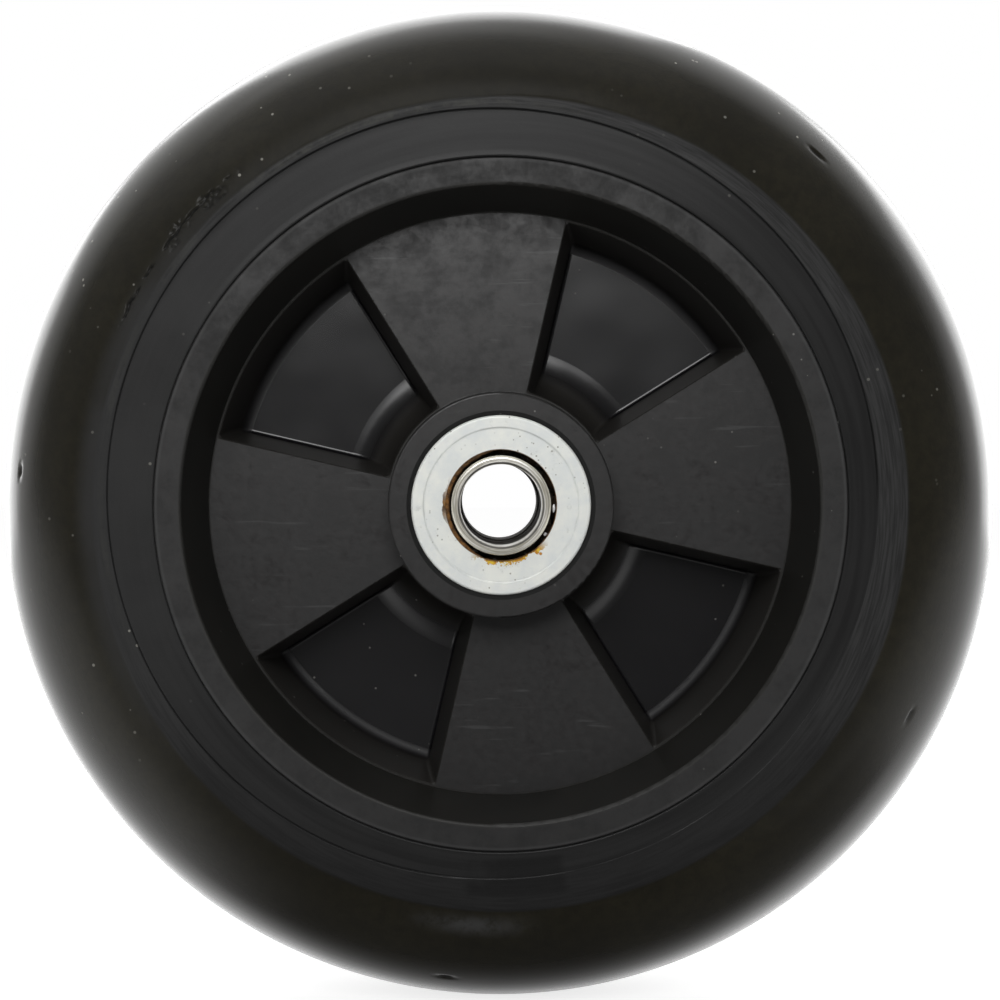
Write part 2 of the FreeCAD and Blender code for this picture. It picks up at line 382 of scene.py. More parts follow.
def rubber_paler_left(s, radius, angle, cloud):
    """Paler stretch on the left of the front sidewall."""
    leftward = s.math("COSINE", s.math("SUBTRACT", angle, PALE_LEFT_ANGLE))
    paler = s.times(s.ramp(leftward, 0.55, 1.0), s.ramp(cloud, 0.0, 1.0, 0.5, 0.9))
    return s.times(paler, s.ramp(s.y, -HALF_WIDTH / 2, -HALF_WIDTH * 0.8), s.ramp(radius, *PALE_LEFT_FADE))


def rubber_smear(s, radius, angle):
    """Dark smear low on the sidewall."""
    across = s.window(radius, *SMEAR_RADII, 1.2 * MM)
    return s.times(s.window(angle, *SMEAR_ANGLES, 0.03), across, s.ramp(s.noise(90.0), 0.3, 0.45))


def rubber_scuff(s, radius, angle):
    """Pale scuff low on the tread."""
    across = s.band(radius, SCUFF_RADIUS, SCUFF_HALF_WIDTH)
    ragged = s.ramp(s.noise(320.0, 5.0, 0.7), 0.25, 0.65)
    return s.times(s.band(angle, SCUFF_ANGLE, SCUFF_REACH), across, ragged)


def rubber_dust(s):
    """Pale specks, mostly on the upper left of the front."""
    lean = s.times(s.math("SUBTRACT", s.z, s.x), 1.3)
    dusty = s.ramp(s.math("ADD", s.noise(14.0), lean), 0.50, 0.68)
    return s.times(s.specks(230.0, 0.085), dusty, s.ramp(s.y, HALF_WIDTH / 2, -HALF_WIDTH / 4))


def make_rubber():
    """Moulded rubber: a dull sidewall, a glossier tread, the marks of trimming, wear and dirt, painted light
    on the fray's upper left, and painted shade in the hollows and low on the band.
    """
    s = Shader("rubber")
    radius = s.radius()
    angle = s.angle()
    hollow = s.node("ShaderNodeAttribute", attribute_name="hollow").outputs["Fac"]
    streaks = s.ramp(s.rings(radius, 1.4 * MM), 0.3, 0.7)
    cloud = s.ramp(s.noise(30.0, 4.0), 0.3, 0.7)
    mottle = s.ramp(s.noise(420.0, 5.0, 0.75), 0.32, 0.68)
    tread = s.ramp(radius, SHOULDER_RADIUS, SHOULDER_RADIUS + 0.8 * MM)
    base = s.blend(tread, rubber_wall(s, radius, streaks), rubber_tread(s, cloud, mottle))
    # Painted light on the fray's upper left.
    base = s.blend(s.times(rubber_lit_fray(s, angle), 0.7), base, colour(0.050, 0.050, 0.044))
    base = s.blend(rubber_paler_left(s, radius, angle, cloud), base, grey(0.0290))
    base = s.blend(s.times(rubber_smear(s, radius, angle), 0.6), base, grey(0.0030))
    scuff = rubber_scuff(s, radius, angle)
    base = s.blend(s.times(scuff, 0.8), base, grey(0.050))
    base = s.blend(s.times(rubber_dust(s), 0.75), base, colour(0.36, 0.35, 0.31))
    # Painted shade: the trim groove, the tears and the cuts are painted near black in their hollows.
    base = s.blend(s.times(hollow, 0.9), base, grey(0.0015))
    dull = s.ramp(s.noise(70.0, 5.0), 0.3, 0.75, -0.04, 0.05)
    rough = s.math("ADD", s.ramp(radius, *GLOSS_FADE, 0.72, 0.22), dull)
    rough = s.most(rough, s.times(s.most(scuff, hollow), 0.8))
    s.set(Base_Color=base, Roughness=rough, Specular_IOR_Level=0.15)
    s.set(Sheen_Weight=1.0, Sheen_Roughness=0.20, Coat_IOR=1.26, Coat_Roughness=0.25)
    tread_coat = s.ramp(radius, SHOULDER_RADIUS + 1.0 * MM, SHOULDER_RADIUS + 8.0 * MM, 0.25, 1.0)
    wall_coat = s.ramp(radius, SHOULDER_RADIUS - 1.0 * MM, SHOULDER_RADIUS - 3.0 * MM, 0.0, 0.62)
    s.set(Coat_Weight=s.most(tread_coat, wall_coat))
    grain = s.math("ADD", s.noise(1500.0, 2.0), s.math("ADD", s.times(streaks, 0.3), mottle))
    s.bump(grain, 0.05 * MM, s.ramp(radius, *GRAIN_FADE, 0.4, 0.0))
    return s.material


# Masks of the core's faces, walls and edges, each from nought to one
PLACE_NAMES = "spokes hub_face lip face pocket_wall floor seat lip_edge dull_foot rough_edge"
Places = collections.namedtuple("Places", PLACE_NAMES)


def moulding_places(s):
    """Finds the core's faces, walls, floors and edges by where they lie."""
    radius = s.radius()
    depth = s.math("ABSOLUTE", s.y)
    spoke_turn = s.times(s.math("SUBTRACT", s.angle(), SPOKE_ANGLE), SPOKE_COUNT)
    facing = s.ramp(s.math("COSINE", spoke_turn), -0.002, 0.002, 1.0, -1.0)
    inward = s.times(s.y, facing)
    spokes = s.window(inward, SPOKE_FACE - 0.2 * MM, SPOKE_FACE + 0.3 * MM, 0.1 * MM)
    spokes = s.times(spokes, s.ramp(radius, SPOKE_END, SPOKE_END - 0.4 * MM))
    # Painted light: the hub's wall near the spokes takes the lighter face colour, so no shaded line shows
    # there.
    hub_wall = s.times(s.ramp(radius, HUB_RADIUS + 2.0 * MM, HUB_RADIUS + 1.0 * MM), 0.7)
    hub_wall = s.times(hub_wall, s.ramp(inward, SPOKE_FACE, SPOKE_FACE + 0.1 * MM))
    hub_face = s.ramp(radius, HUB_RADIUS + 1.0 * MM, HUB_RADIUS)
    hub_face = s.times(hub_face, s.ramp(depth, HUB_FACE - 0.4 * MM, HUB_FACE - 0.1 * MM))
    hub_edge = s.band(radius, HUB_RADIUS, 0.6 * MM)
    hub_edge = s.times(hub_edge, s.ramp(depth, HUB_FACE - 1.2 * MM, HUB_FACE - 0.6 * MM))
    lip = s.ramp(radius, LIP_RADIUS + 0.4 * MM, LIP_RADIUS + 0.9 * MM)
    lip = s.times(lip, s.ramp(depth, HUB_FACE, HUB_FACE + 1.0 * MM))
    lip_edge = s.times(s.band(radius, RIM_RADIUS - 0.5 * MM, 0.5 * MM), lip)
    pocket_wall = s.window(inward, -SPOKE_FACE, POCKET_FLOOR + 1.0 * MM, 0.2 * MM)
    floor = s.times(pocket_wall, s.ramp(inward, POCKET_FLOOR - 2.5 * MM, POCKET_FLOOR - 0.2 * MM))
    dull_foot = s.times(floor, s.ramp(radius, POCKET_END - 2.5 * MM, POCKET_END - 1.5 * MM))
    seat = s.window(radius, CASE_RADIUS - 0.5 * MM, SEAT_MOUTH + 0.1 * MM, 0.1 * MM)
    seat = s.times(seat, s.ramp(depth, HUB_FACE - 2.0 * MM, HUB_FACE - 1.0 * MM))
    at_face = s.window(depth, SPOKE_FACE - 1.0 * MM, SPOKE_FACE + 1.0 * MM, 0.1 * MM)
    spoke_foot = s.times(s.band(radius, SPOKE_END, 0.5 * MM), at_face)
    face = s.most(spokes, hub_wall, hub_face, lip)
    rough_edge = s.most(seat, hub_edge, spoke_foot)
    return Places(spokes, hub_face, lip, face, pocket_wall, floor, seat, lip_edge, dull_foot, rough_edge)


def moulding_colour(s, at, blotch):
    """Grey wear on the faces, with painted light on the hub's wall; dark walls and floors, with the pocket
    walls painted lighter as light; seats painted black as shade; a worn lip with a painted highlight on its
    edge; fine scratches and dust.
    """
    stain = s.ramp(s.noise(55.0, 4.0), 0.3, 0.7)
    worn = s.blend(s.ramp(blotch, 0.38, 0.62), colour(0.0048, 0.0044, 0.0043), colour(0.0138, 0.0128, 0.0127))
    worn = s.blend(s.times(at.lip, 0.4), worn, grey(0.0045))
    pocket = s.blend(stain, colour(0.0045, 0.0042, 0.0050), colour(0.0075, 0.0070, 0.0080))
    walls = s.blend(stain, colour(0.0052, 0.0048, 0.0036), colour(0.0085, 0.0078, 0.0060))
    # Painted light: the walls inside the pockets are painted lighter than the rim's wall.
    walls = s.blend(at.pocket_wall, walls, colour(0.0165, 0.0150, 0.0130))
    base = s.blend(at.face, s.blend(at.floor, walls, pocket), worn)
    # Painted shade: the seat round the bearing's case is painted near black.
    base = s.blend(at.seat, base, grey(0.0015))
    # Painted highlight: a light line on the rounded edge of the lip.
    base = s.blend(s.times(at.lip_edge, 0.5), base, grey(0.035))
    ticks = s.times(s.ramp(s.noise(1.0, 2.0, 0.5, s.stretched(70.0, 900.0)), 0.66, 0.74), at.spokes)
    base = s.blend(s.times(ticks, 0.6), base, grey(0.040))
    dust = s.times(s.specks(260.0, 0.07), s.ramp(s.noise(18.0), 0.48, 0.62))
    return s.blend(s.times(dust, 0.5), base, colour(0.30, 0.29, 0.27))


def make_moulding():
    """Black moulded plastic: worn on its faces, dull on its walls, glossy and wavy on its pocket floors."""
    s = Shader("moulding")
    at = moulding_places(s)
    mottle = s.noise(600.0, 4.0, 0.65)
    blotch = s.noise(170.0, 5.0, 0.7)
    patchy = s.math("ADD", s.ramp(blotch, 0.3, 0.7, 0.09, -0.09), s.ramp(mottle, 0.3, 0.7, -0.05, 0.05))
    polished = s.times(s.most(at.spokes, at.hub_face), 0.14)
    rough = s.math("SUBTRACT", s.ramp(at.floor, 0.0, 1.0, 0.55, 0.23), polished)
    rough = s.math("ADD", rough, s.times(patchy, at.face))
    rough = s.most(rough, s.times(at.dull_foot, 0.55), s.times(at.rough_edge, 0.8))
    s.set(Base_Color=moulding_colour(s, at, blotch), Roughness=rough, Specular_IOR_Level=0.5)
    waves = s.times(s.noise(48.0, 1.0), at.floor, 6.0)
    s.bump(s.math("ADD", s.times(mottle, s.ramp(at.face, 0.0, 1.0, 0.05, 0.4)), waves), 0.06 * MM)
    return s.material


def make_zinc():
    """Dull white zinc plate with a stamped ring, stains, pinholes and rust that creeps out of its opening."""
    s = Shader("zinc_plate")
    radius = s.radius()
    angle = s.angle()
    out = s.math("SUBTRACT", radius, COVER_RADIUS)
    ragged = s.noise(700.0, 4.0, 0.7)
    cloud = s.ramp(s.noise(160.0, 5.0, 0.65), 0.3, 0.7)
    base = s.blend(cloud, colour(0.76, 0.79, 0.78), colour(0.89, 0.90, 0.84))
    stains = s.times(s.ramp(s.noise(420.0, 5.0, 0.75), 0.56, 0.70), s.ramp(s.noise(90.0), 0.45, 0.6))
    base = s.blend(s.times(stains, 0.45), base, colour(0.42, 0.43, 0.40))
    worn_ring = s.times(s.band(radius, COVER_STEP - 0.2 * MM, 0.5 * MM), s.ramp(s.noise(300.0), 0.35, 0.65))
    base = s.blend(s.times(worn_ring, 0.35), base, colour(0.48, 0.50, 0.50))
    pinholes = s.times(s.specks(800.0, 0.17), s.ramp(s.noise(60.0), 0.46, 0.58))
    base = s.blend(s.times(pinholes, 0.7), base, colour(0.16, 0.15, 0.11))
    reach = s.ramp(s.noise(330.0, 5.0, 0.75), 0.38, 0.66, 0.05 * MM, 1.7 * MM)
    below = s.window(angle, *RUST_ANGLES, 0.25)
    low = s.times(below, s.ramp(out, reach, s.times(reach, 0.7)))
    left_reach = s.ramp(s.noise(240.0, 3.0), 0.35, 0.65, 0.1 * MM, 0.9 * MM)
    left = s.band(s.math("ABSOLUTE", angle), math.pi, 0.6)
    left = s.times(left, s.ramp(out, left_reach, s.times(left_reach, 0.7)))
    rim = s.times(s.ramp(out, 0.14 * MM, 0.02 * MM), 0.8)
    spots = s.times(s.specks(520.0, 0.2), below, s.ramp(out, *RUST_SPOT_FADE))
    rust = s.most(low, left, rim, spots)
    warm = s.blend(s.ramp(ragged, 0.4, 0.6), colour(0.55, 0.24, 0.015), colour(0.80, 0.55, 0.05))
    brown = s.blend(s.ramp(ragged, 0.4, 0.6), colour(0.09, 0.045, 0.014), colour(0.24, 0.12, 0.03))
    rust_colour = s.blend(s.times(s.most(low, spots), s.ramp(out, 0.05 * MM, 0.35 * MM)), brown, warm)
    base = s.blend(rust, base, rust_colour)
    s.set(
        Base_Color=base,
        Metallic=s.ramp(rust, 0.0, 1.0, 0.12, 0.0),
        Roughness=s.ramp(rust, 0.0, 1.0, 0.38, 0.85),
    )
    s.bump(s.math("ADD", s.rings(radius, 0.16 * MM, 6.0), s.times(ragged, 0.5)), 0.02 * MM, 0.5)
    return s.material


def make_race():
    """Turned steel: bright bands on the lip, a brown film on its neck, and a bore that grows darker deeper
    in.
    """
    s = Shader("race_steel")
    radius = s.radius()
    depth = s.math("ABSOLUTE", s.y)
    bands = s.rings(radius, 0.30 * MM, 1.5)
    base = s.blend(s.ramp(bands, 0.35, 0.65), colour(0.46, 0.43, 0.35), colour(0.88, 0.86, 0.80))
    base = s.blend(s.band(radius, NECK_RADIUS - 0.2 * MM, 0.25 * MM), base, colour(0.88, 0.85, 0.72))
    lip = s.ramp(depth, RACE_END - 0.8 * MM, RACE_END - 0.3 * MM)
    chamfer = s.times(s.window(radius, BORE_RADIUS + 0.05 * MM, BORE_RADIUS + 0.5 * MM, 0.1 * MM), lip)
    base = s.blend(s.times(chamfer, 0.8), base, grey(0.06))
    bore = s.ramp(radius, BORE_RADIUS + 0.6 * MM, BORE_RADIUS + 0.3 * MM)
    darker_deep = s.times(bore, s.ramp(s.y, *BORE_DARK_FADE))
    base = s.blend(s.times(darker_deep, 0.95), base, colour(0.020, 0.017, 0.014))
    under_cover = s.ramp(depth, RACE_END - 0.6 * MM, RACE_END - 1.6 * MM)
    neck = s.times(s.ramp(radius, NECK_RADIUS - 0.05 * MM, NECK_RADIUS), under_cover)
    base = s.blend(s.times(neck, 0.85), base, colour(0.10, 0.06, 0.03))
    dull = s.most(darker_deep, neck)
    s.set(
        Base_Color=base,
        Metallic=s.ramp(dull, 0.0, 1.0, 0.6, 0.0),
        Roughness=s.ramp(dull, 0.0, 1.0, 0.28, 1.0),
    )
    s.bump(bands, 0.03 * MM, 0.4)
    return s.material


def make_ball():
    """Steel ball under old grease."""
    s = Shader("ball_steel")
    grease = s.ramp(s.noise(700.0, 4.0), 0.15, 0.45)
    s.set(
        Base_Color=s.blend(grease, grey(0.60), colour(0.040, 0.025, 0.014)),
        Metallic=s.ramp(grease, 0.0, 1.0, 0.5, 0.0),
        Roughness=s.ramp(grease, 0.0, 1.0, 0.18, 0.55),
    )
    return s.material


def make_spacer():
    """Drawn steel tube, dark and dull all over."""
    s = Shader("spacer_steel")
    film = s.ramp(s.noise(160.0, 4.0), 0.35, 0.7)
    dark = s.blend(film, colour(0.045, 0.038, 0.030), colour(0.025, 0.018, 0.012))
    s.set(Base_Color=dark, Roughness=s.ramp(film, 0.0, 1.0, 0.80, 1.0), Specular_IOR_Level=0.1)
    return s.material


def make_crust_rust():
    """Flaky brown rust, darker towards the top."""
    s = Shader("rust_crust")
    flakes = s.ramp(s.noise(900.0, 5.0, 0.7), 0.35, 0.65)
    brown = s.blend(flakes, colour(0.060, 0.028, 0.009), colour(0.270, 0.125, 0.032))
    dark = s.ramp(s.z, *CRUST_DARK_FADE)
    s.set(Base_Color=s.blend(s.times(dark, 0.6), brown, colour(0.030, 0.018, 0.008)), Roughness=0.9)
    s.bump(flakes, 0.08 * MM)
    return s.material


def make_glint_white():
    """Pale glossy white that stands in for glints on the balls: painted glint."""
    # Painted glint: a pale, glossy white put where the balls catch light.
    s = Shader("grease")
    s.set(Base_Color=s.blend(s.noise(900.0), grey(0.80), grey(0.92)), Roughness=0.2)
    return s.material


def make_inner_rust():
    """Steel inside the bearings: brown rust on the left of the wheel, and black grease on the right."""
    s = Shader("inner_rust")
    patch = s.ramp(s.noise(500.0, 5.0), 0.35, 0.65)
    left = s.ramp(s.x, *INNER_RUST_FADE)
    brown = s.blend(patch, colour(0.07, 0.035, 0.012), colour(0.24, 0.12, 0.035))
    s.set(Base_Color=s.blend(left, colour(0.010, 0.008, 0.006), brown), Roughness=0.75)
    s.bump(patch, 0.05 * MM)
    return s.material


def dress_solids():
    """Gives every CAD node its material."""
    zinc = make_zinc()
    race = make_race()
    inner = make_inner_rust()
    ball = make_ball()
    finishes = {"tyre": make_rubber(), "wheel_core": make_moulding(), "spacer_tube": make_spacer()}
    for name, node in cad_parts.items():
        if name in finishes:
            material = finishes[name]
        elif name.endswith("bearing_case"):
            material = zinc
        elif name.endswith("inner_race"):
            material = race
        elif "outer_race" in name:
            material = inner
        else:
            material = ball
        node.data.materials.clear()
        node.data.materials.append(material)


# One line of the tyre's section: where it is, which way is out, and how far it follows the trim line
Row = collections.namedtuple("Row", "radius along out_radius out_along follow")


def spaced(start, end, step):
    """Even values from start to end, both included, about a step apart."""
    count = max(1, round(abs(end - start) / step))
    return [start + (end - start) * number / count for number in range(count + 1)]


def smooth(value, start, end):
    """Smooth step from nought at start to one at end."""
    share = min(1.0, max(0.0, (value - start) / (end - start)))
    return share * share * (3 - 2 * share)


def wall_rows():
    """Front sidewall from the rim to the shoulder, with close rows along the trim line."""
    low = TRIM_RADIUS - TRIM_REACH
    high = TRIM_RADIUS + TRIM_REACH
    radii = spaced(WALL_FOOT, low, 0.8 * MM) + spaced(low, high, 0.1 * MM)[1:]
    radii += spaced(high, SHOULDER_RADIUS, 0.4 * MM)[1:-1]
    rows = []
    for radius in radii:
        inner = (radius - WALL_FOOT) / (low - WALL_FOOT)
        outer = (SHOULDER_RADIUS - radius) / (SHOULDER_RADIUS - high)
        rows.append(Row(radius, -HALF_WIDTH, 0.0, -1.0, min(1.0, inner, outer)))
    return rows


def crown_rows():
    """Tread from the front shoulder to the rear one, with close rows where the tears and the cuts are."""
    def turn_at(radius):
        return -math.acos((radius - CROWN_CENTRE) / CROWN_RADIUS)

    stretches = [
        (-SHOULDER_TURN, turn_at(TEAR_ROWS_END), 0.2 * MM),
        (turn_at(TEAR_ROWS_END), turn_at(CUT_ROWS_START), 1.0 * MM),
        (turn_at(CUT_ROWS_START), turn_at(CUT_ROWS_END), 0.45 * MM),
        (turn_at(CUT_ROWS_END), CREST_TURN, 0.8 * MM),
        (CREST_TURN, SHOULDER_TURN, 2.2 * MM),
    ]
    turns = [-SHOULDER_TURN]
    for start, end, step in stretches:
        turns += spaced(start, end, step / CROWN_RADIUS)[1:]
    rows = []
    for turn in turns:
        radius = CROWN_CENTRE + CROWN_RADIUS * math.cos(turn)
        rows.append(Row(radius, CROWN_RADIUS * math.sin(turn), math.cos(turn), math.sin(turn), 0.0))
    return rows


def seat_rows(side):
    """Rounded edge and seat of one side, from the sidewall's foot inwards. The side is -1 at the front."""
    rows = []
    for turn in spaced(0.0, math.pi / 2, math.pi / 8)[1:]:
        radius = WALL_FOOT - SEAT_EDGE_ROUND * math.sin(turn)
        along = HALF_WIDTH - SEAT_EDGE_ROUND * (1 - math.cos(turn))
        rows.append(Row(radius, side * along, 0.0, 0.0, 0.0))
    rows.append(Row(SEAT_RADIUS, side * CHANNEL_EDGE, 0.0, 0.0, 0.0))
    rows.append(Row(CHANNEL_RADIUS, side * CHANNEL_FOOT, 0.0, 0.0, 0.0))
    return rows


def rear_wall_rows():
    """Plain rear sidewall from the shoulder to the rim."""
    radii = spaced(SHOULDER_RADIUS, WALL_FOOT, 1.4 * MM)[1:]
    return [Row(radius, HALF_WIDTH, 0.0, 0.0, 0.0) for radius in radii]


def tyre_angles():
    """Angles round the tyre, closer together across the torn flash."""
    tear_low = BLISTER_START - TEAR_FADE
    tear_high = TEAR_END + TEAR_FADE
    close = spaced(tear_low, tear_high, CLOSE_STEP)
    wide = spaced(tear_high, tear_low + 2 * math.pi, WIDE_STEP)
    return close + wide[1:-1]


def trim_radius(angle):
    """Distance from the axle to the trim line's circle."""
    along = TRIM_CENTRE.x * math.cos(angle) + TRIM_CENTRE.y * math.sin(angle)
    return along + math.sqrt(TRIM_RADIUS ** 2 - TRIM_CENTRE.length_squared + along ** 2)


def apart(angle, other):
    """Smallest angle between two directions."""
    return abs((angle - other + math.pi) % (2 * math.pi) - math.pi)


def trim_depth(angle, across):
    """Depth of the trim groove. It fades out low on the right."""
    clear = smooth(apart(angle, TRIM_FAINT_ANGLE), TRIM_FAINT_REACH - TRIM_FADE, TRIM_FAINT_REACH)
    share = TRIM_FAINT_SHARE + (1 - TRIM_FAINT_SHARE) * clear
    return TRIM_DEPTH * share * max(0.0, 1.0 - abs(across) / TRIM_HALF_WIDTH)


def tear_depth(angle, radius, place):
    """Depth of the torn flash: one wandering ragged line, and a net of cracks round small blisters."""
    if not BLISTER_START - TEAR_FADE < angle < TEAR_END + TEAR_FADE:
        return 0.0
    share = (TEAR_END - angle) / (TEAR_END - TEAR_START)
    middle = TEAR_LOW_RADIUS + (TEAR_HIGH_RADIUS - TEAR_LOW_RADIUS) * share
    middle += TEAR_WANDER * noise.noise(place / (2.2 * MM))
    width = TEAR_HALF_WIDTH * (1.0 + 0.7 * noise.noise(place / (1.1 * MM)))
    ends = smooth(angle, TEAR_START - TEAR_FADE, TEAR_START) * smooth(angle, TEAR_END + TEAR_FADE, TEAR_END)
    breaks = smooth(noise.noise(place / (2.4 * MM)), -0.2, 0.1)
    line = TEAR_DEPTH * ends * breaks * smooth(abs(radius - middle), width, 0.0)
    window = smooth(angle, BLISTER_START - TEAR_FADE, BLISTER_START)
    window *= smooth(angle, BLISTER_END + TEAR_FADE, BLISTER_END)
    window *= smooth(radius, BLISTER_LOW_RADIUS, BLISTER_LOW_RADIUS + 0.5 * MM)
    window *= smooth(radius, BLISTER_HIGH_RADIUS, BLISTER_HIGH_RADIUS - 0.8 * MM)
    window *= smooth(noise.noise(place / (4.0 * MM) + Vector((7.0, 0.0, 0.0))), -0.05, 0.3)
    near = noise.voronoi(place / BLISTER_SIZE + 0.35 * noise.noise_vector(place / (1.0 * MM)))[0]
    cracks = BLISTER_DEPTH * window * smooth(near[1] - near[0], 0.3, 0.0)
    return max(line, cracks)


def cut_depth(angle, radius):
    """Depth of the short cuts."""
    depth = 0.0
    for cut_angle, cut_radius, half_length in CUTS:
        ends = smooth(apart(angle, cut_angle), half_length, half_length * 0.4)
        depth = max(depth, CUT_DEPTH * ends * max(0.0, 1.0 - abs(radius - cut_radius) / CUT_HALF_WIDTH))
    return depth


def tyre_relief(angle, radius, place):
    """How far the front of the tyre lies inside its plain section, and how much of that is a hollow, whose
    colour is painted dark as shade.
    """
    direction = Vector((math.cos(angle), math.sin(angle), 0.0))
    across = radius - trim_radius(angle)
    wander = noise.noise(direction * 5.0) + 0.6 * noise.noise(direction * 33.0)
    crease = SHOULDER_RADIUS + CREASE_WANDER * wander
    beyond = smooth(radius, crease, crease + CREASE_WIDTH)
    hollow = max(trim_depth(angle, across), tear_depth(angle, radius, place), cut_depth(angle, radius))
    streak = noise.noise(Vector((direction.x * 11.0, direction.y * 11.0, radius / (0.6 * MM))))
    band = smooth(across, 0.0, TRIM_HALF_WIDTH) * (1.0 - beyond)
    plain = WALL_DROP * smooth(across, TRIM_HALF_WIDTH, -TRIM_HALF_WIDTH)
    plain += RIPPLE_DEPTH * band * (0.5 + 0.5 * streak)
    plain += CREASE_DROP * beyond * smooth(radius, crease + CREASE_FADE, crease + CREASE_WIDTH)
    return plain + hollow, min(1.0, hollow / TRIM_DEPTH)


def make_ring(name, vertices, turns, material):
    """Closed ring of quads from equal sections, listed one after the other round the axle."""
    across = len(vertices) // turns
    faces = []
    for turn in range(turns):
        this = turn * across
        after = (turn + 1) % turns * across
        for step in range(across):
            ahead = (step + 1) % across
            faces.append((this + step, this + ahead, after + ahead, after + step))
    mesh = bpy.data.meshes.new(name)
    mesh.from_pydata(vertices, [], faces)
    mesh.shade_smooth()
    mesh.materials.append(material)
    ring = bpy.data.objects.new(name, mesh)
    bpy.context.scene.collection.objects.link(ring)
    return ring


def make_tyre(material):
    """Tyre with its moulding marks as real relief. It stands for the plain solid."""
    rows = list(reversed(seat_rows(-1))) + wall_rows() + crown_rows() + rear_wall_rows() + seat_rows(1)
    angles = tyre_angles()
    vertices = []
    hollows = []
    for angle in angles:
        for row in rows:
            radius = row.radius + row.follow * (trim_radius(angle) - TRIM_RADIUS)
            place = Vector((radius * math.cos(angle), row.along, radius * math.sin(angle)))
            depth, hollow = 0.0, 0.0
            if row.along < 0 and (row.out_radius or row.out_along):
                depth, hollow = tyre_relief(angle, radius, place)
            radius -= depth * row.out_radius
            along = row.along - depth * row.out_along
            vertices.append((radius * math.cos(angle), along, radius * math.sin(angle)))
            hollows.append(hollow)
    tyre = make_ring("moulded_tyre", vertices, len(angles), material)
    tyre.data.attributes.new("hollow", "FLOAT", "POINT").data.foreach_set("value", hollows)
    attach(tyre, "wheel")
    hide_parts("tyre")


def make_crust():
    """Flaky ring of rust in the front cover's opening. It stays clear of the race, which stands still."""
    vertices = []
    angles = spaced(0.0, 2 * math.pi, CRUST_STEP)[:-1]
    for angle in angles:
        place = Vector((math.cos(angle), math.sin(angle), 0.0)) * COVER_RADIUS
        share = smooth(apart(angle, CRUST_MIDDLE), CRUST_REACH, CRUST_REACH * 0.55)
        uneven = 1.0 + 0.18 * noise.noise(place / (0.7 * MM)) + 0.12 * noise.noise(place / (0.25 * MM))
        width = CRUST_WIDTH * max(CRUST_THIN, share) * uneven
        lift = noise.noise(place / (0.5 * MM) + Vector((3.0, 0.0, 0.0)))
        front = -COVER_FACE + CRUST_DEPTH * (0.15 + 0.2 * lift)
        section = [
            (COVER_RADIUS + CRUST_ROOT, front),
            (COVER_RADIUS - 0.6 * width, front + 0.1 * CRUST_DEPTH),
            (COVER_RADIUS - width, front + 0.45 * CRUST_DEPTH),
            (COVER_RADIUS - 0.6 * width, front + 0.9 * CRUST_DEPTH),
            (COVER_RADIUS + CRUST_ROOT, front + CRUST_DEPTH),
        ]
        vertices += [(radius * math.cos(angle), along, radius * math.sin(angle)) for radius, along in section]
    crust = make_ring("rust_crust", vertices, len(angles), make_crust_rust())
    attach(crust, "wheel")


def make_glints():
    """Pale spots on two balls, seen through the front cover's opening, as painted glints."""
    grease = make_glint_white()
    for ball, half_length in GLINT_SPOTS:
        low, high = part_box(ball)
        angle = math.atan2(low[2] + high[2], low[0] + high[0])
        # Painted glint: a pale spot laid on the ball where it catches light.
        bpy.ops.mesh.primitive_uv_sphere_add(segments=32, ring_count=16, radius=1.0)
        glint = bpy.context.object
        glint.name = "painted_glint_on_" + ball
        for vertex in glint.data.vertices:
            radius = GLINT_RADIUS + GLINT_HALF_WIDTH * vertex.co.x
            turn = angle + half_length / GLINT_RADIUS * vertex.co.z
            along = GLINT_PLACE + GLINT_HALF_DEPTH * vertex.co.y
            vertex.co = (radius * math.cos(turn), along, radius * math.sin(turn))
        glint.data.shade_smooth()
        glint.data.materials.append(grease)
        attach(glint, "front_ball_ring")


def make_world():
    """White backdrop behind the wheel, and a dimmer room in front of it that is lightest high on the left."""
    world = bpy.data.worlds.new("studio")
    bpy.context.scene.world = world
    world.use_nodes = True
    w = Nodes(world.node_tree)
    background = world.node_tree.nodes["Background"]
    x, y, z = w.split(w.node("ShaderNodeTexCoord").outputs["Generated"])
    room = w.math("ADD", ROOM_LEVEL, w.math("SUBTRACT", w.times(z, ROOM_RISE), w.times(x, ROOM_LEAN)))
    room = w.most(room, 0.0)
    behind = w.ramp(y, BACKDROP_START, BACKDROP_END)
    studio = w.math("ADD", w.times(room, w.math("SUBTRACT", 1.0, behind)), behind)
    mirrored = w.seen("Is Glossy Ray")
    lit = w.math("ADD", w.times(studio, mirrored), w.ramp(mirrored, 0.0, 1.0, WORLD_LIGHT, 0.0))
    w.feed(background.inputs["Color"], grey(1.0))
    w.feed(background.inputs["Strength"], w.most(lit, w.seen("Is Camera Ray", "Is Transmission Ray")))


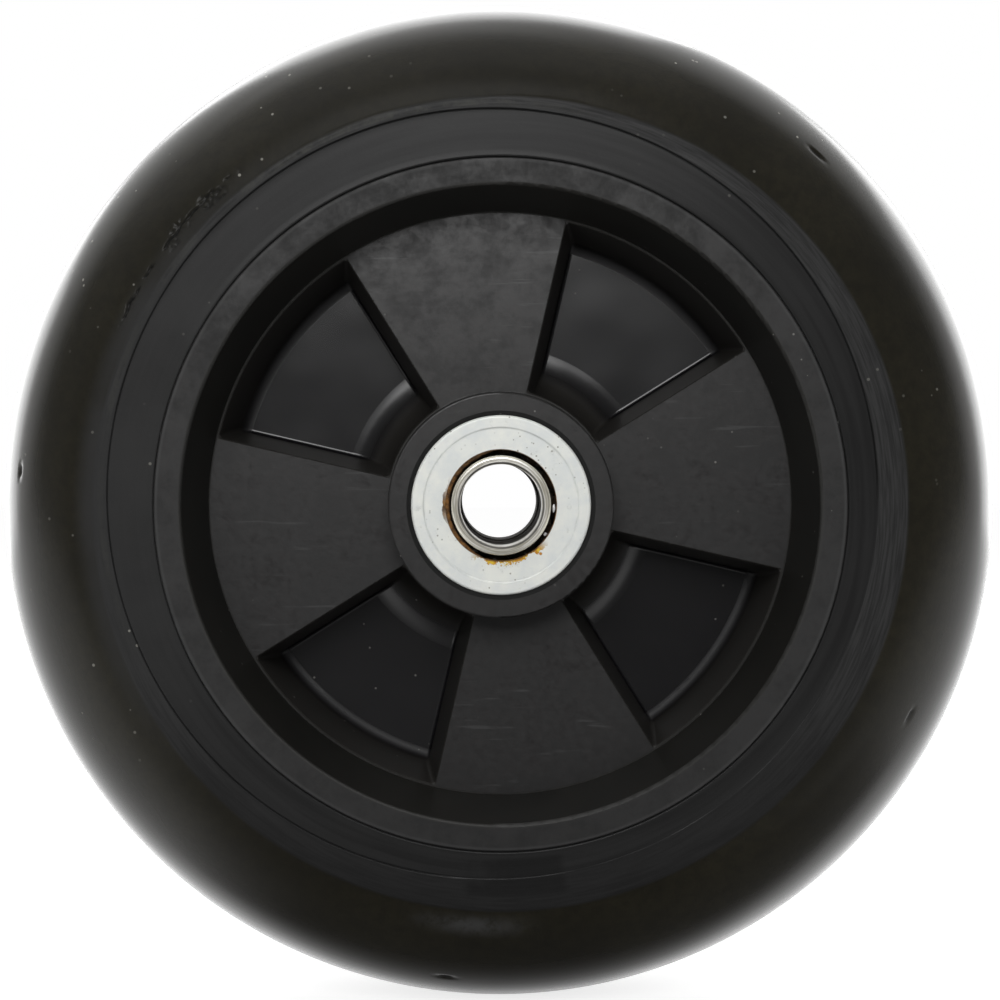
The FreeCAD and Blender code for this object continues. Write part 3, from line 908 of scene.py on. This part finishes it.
def make_floor():
    """Pale floor under the tyre. It shows white with a soft shadow, and in reflections white in places."""
    bpy.ops.mesh.primitive_plane_add(size=FLOOR_SIZE, location=(0, 0, TYRE_LOW[2]))
    floor = bpy.context.object
    floor.name = "floor"
    s = Shader("floor")
    s.tree.nodes.remove(s.surface)
    aside = s.math("ABSOLUTE", s.math("SUBTRACT", s.x, FLOOR_STRIP_X))
    under = s.ramp(s.y, FLOOR_UNDER_START, 0.0)
    card = s.window(s.x, *FLOOR_CARD_X, FLOOR_CARD_FADE)
    card = s.times(card, s.window(s.y, *FLOOR_CARD_Y, FLOOR_CARD_FADE))
    lit = s.most(s.ramp(aside, FLOOR_STRIP_START, FLOOR_STRIP_END), under, card)
    far = s.ramp(s.y, -FLOOR_DIM_START, -FLOOR_DIM_END)
    mirrored = s.times(s.seen("Is Glossy Ray"), lit, s.math("SUBTRACT", 1.0, far))
    shown = s.most(s.seen("Is Camera Ray", "Is Transmission Ray"), mirrored)
    dark = s.times(s.seen("Is Glossy Ray"), far)
    pale = s.node("ShaderNodeBsdfDiffuse", {"Color": grey(FLOOR_BOUNCE)}).outputs[0]
    shade = s.node("ShaderNodeBsdfDiffuse", {"Color": grey(FLOOR_SHADE)}).outputs[0]
    glow = s.node("ShaderNodeEmission", {"Color": grey(1.0), "Strength": FLOOR_GLOW}).outputs[0]
    white = s.node("ShaderNodeAddShader", {0: shade, 1: glow}).outputs[0]
    dim = s.node("ShaderNodeBsdfDiffuse", {"Color": grey(FLOOR_DIM)}).outputs[0]
    plain = s.node("ShaderNodeMixShader", {0: dark, 1: pale, 2: dim}).outputs[0]
    mix = s.node("ShaderNodeMixShader", {0: shown, 1: plain, 2: white}).outputs[0]
    s.feed(s.tree.nodes["Material Output"].inputs["Surface"], mix)
    floor.data.materials.append(s.material)


def make_lamp(name, place, size, power):
    """Square soft lamp that faces the wheel's centre."""
    light = bpy.data.lights.new(name, "AREA")
    light.size = size
    light.energy = power
    lamp = bpy.data.objects.new(name, light)
    lamp.location = place
    lamp.rotation_euler = (-Vector(place)).to_track_quat("-Z", "Y").to_euler()
    bpy.context.scene.collection.objects.link(lamp)


def make_camera():
    camera = bpy.data.objects.new("camera", bpy.data.cameras.new("camera"))
    camera.data.lens = CAMERA_LENS
    camera.data.sensor_width = CAMERA_SENSOR
    camera.location = CAMERA_PLACE
    aim = Vector(CAMERA_AIM) - Vector(CAMERA_PLACE)
    camera.rotation_euler = aim.to_track_quat("-Z", "Y").to_euler()
    bpy.context.scene.collection.objects.link(camera)
    bpy.context.scene.camera = camera


bpy.context.scene.view_settings.view_transform = "Standard"
noise.seed_set(NOISE_SEED)
dress_solids()
make_tyre(bpy.data.materials["rubber"])
make_crust()
make_glints()
make_world()
make_floor()
for name, (place, size, power) in LAMPS.items():
    make_lamp(name, place, size, power)
make_camera()
